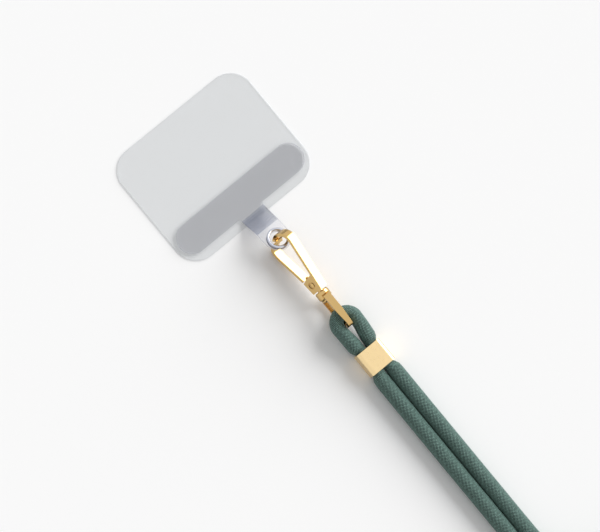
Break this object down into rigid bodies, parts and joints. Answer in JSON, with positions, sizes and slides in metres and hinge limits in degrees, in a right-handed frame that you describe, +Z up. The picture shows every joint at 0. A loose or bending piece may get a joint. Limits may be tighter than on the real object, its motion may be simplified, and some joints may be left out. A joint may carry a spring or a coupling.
{
  "type": "phone lanyard",
  "caption": "Phone lanyard: clear stick-on patch and insert with an eyelet, gold snap hook on a swivel bail, and a doubled round braided cord in a flat clamp.",
  "frame": {"origin": "under the middle of the object's box without its free cord, on the surface it lies on", "axes": "+X along the lanyard from the clear patch towards the cord, +Y across the patch, +Z up from the surface"},
  "size_m": [0.2566, 0.068, 0.0115],
  "materials": {
    "clear_film": "clear polyester film, glossy",
    "clear_insert": "clear urethane sheet, satin edges",
    "nickel": "nickel plated brass, polished",
    "gold": "gold plated zinc, polished",
    "spring_steel": "drawn spring wire",
    "green_cord": "braided polyester, dark teal green",
    "black_tie": "woven hook and loop strap, black"
  },
  "bodies": {
    "cord_side": {"bail": "gold", "clamp_sleeve": "gold", "cord_bight": "green_cord", "cord_run_a": "green_cord", "cord_run_b": "green_cord", "cord_coil": "green_cord", "coil_tie": "black_tie"},
    "hook": {"hook_frame": "gold", "gate_pin": "gold", "gate_spring": "spring_steel", "swivel_rivet": "gold", "eyelet_barrel": "nickel", "eyelet_washer": "nickel", "insert_tab": "clear_insert", "patch_film": "clear_film"},
    "gate": {"hook_gate": "gold"}
  },
  "joints": [
    {"name": "swivel", "type": "hinge", "parent": "cord_side", "child": "hook", "pos_m": [0.01705, 0, 0.00475], "axis": [1, 0, 0], "continuous": true},
    {"name": "gate_hinge", "type": "hinge", "parent": "hook", "child": "gate", "pos_m": [0.01705, 0, 0.00475], "axis": [0, 0.848, -0.5299], "range_deg": [0, 7], "stiffness_Nm_per_rad": 0.02, "springref_deg": -11.46}
  ]
}
